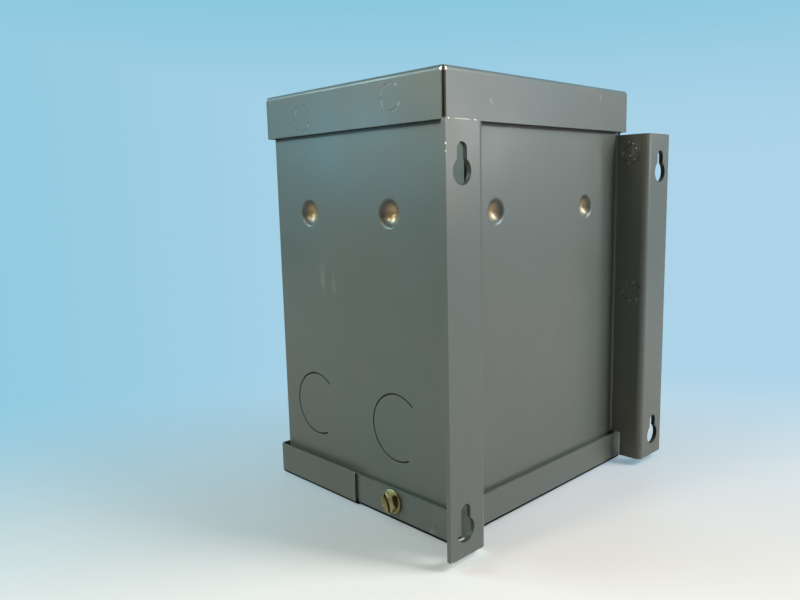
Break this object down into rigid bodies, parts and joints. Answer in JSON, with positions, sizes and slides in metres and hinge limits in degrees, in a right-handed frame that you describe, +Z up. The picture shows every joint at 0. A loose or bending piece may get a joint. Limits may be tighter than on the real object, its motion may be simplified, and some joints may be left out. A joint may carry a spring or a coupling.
{
  "type": "buck boost transformer",
  "caption": "Potted dry-type transformer in a folded grey sheet-steel case with top cap, wiring compartment and keyhole mounting flanges.",
  "frame": {"origin": "centre of the bounding box's bottom: on the surface that the case stands on, midway between the mounting plane and the wiring cover's screw head", "axes": "+Z up, from the bottom pan to the top cap; +Y towards the wall that the mounting flanges lie on, so that the wiring cover faces -Y; +X towards the right-hand side wall of somebody who faces the wiring cover"},
  "size_m": [0.1584, 0.129, 0.182],
  "materials": {
    "grey_enamel": "semi-gloss enamel",
    "yellow_zinc": "yellow chromate zinc on steel",
    "plain_steel": "plain steel",
    "green_zinc": "green grounding screw",
    "core_iron": "silicon steel laminations",
    "enamelled_copper": "enamelled copper wire, close wound",
    "insulating_board": "pressed insulating paper",
    "bushing": "moulded bushing",
    "potting_compound": "silica-filled resin",
    "black_insulation": "wire insulation",
    "red_insulation": "wire insulation"
  },
  "bodies": {
    "root": {"bottom_pan": "grey_enamel", "case_wrap": "grey_enamel", "coil_former": "insulating_board", "core_bolt_1": "plain_steel", "core_bolt_2": "plain_steel", "core_bolt_3": "plain_steel", "core_bolt_4": "plain_steel", "core_e_stack": "core_iron", "core_i_stack": "core_iron", "core_nut_1": "plain_steel", "core_nut_2": "plain_steel", "core_nut_3": "plain_steel", "core_nut_4": "plain_steel", "cover_screw": "yellow_zinc", "divider": "plain_steel", "foot_front": "plain_steel", "foot_rear": "plain_steel", "grommet_left": "bushing", "grommet_right": "bushing", "ground_screw": "green_zinc", "insulation_wrap_1": "insulating_board", "insulation_wrap_2": "insulating_board", "insulation_wrap_3": "insulating_board", "insulation_wrap_4": "insulating_board", "lead_h1": "black_insulation", "lead_h2": "black_insulation", "lead_h3": "black_insulation", "lead_h4": "black_insulation", "lead_x1": "red_insulation", "lead_x2": "red_insulation", "lead_x3": "red_insulation", "lead_x4": "red_insulation", "mounting_back": "grey_enamel", "pan_screw_left": "yellow_zinc", "pan_screw_right": "yellow_zinc", "potting": "potting_compound", "primary_winding_1": "enamelled_copper", "primary_winding_2": "enamelled_copper", "secondary_winding_1": "enamelled_copper", "secondary_winding_2": "enamelled_copper", "top_cap": "grey_enamel", "wiring_cover": "grey_enamel"}
  },
  "joints": []
}
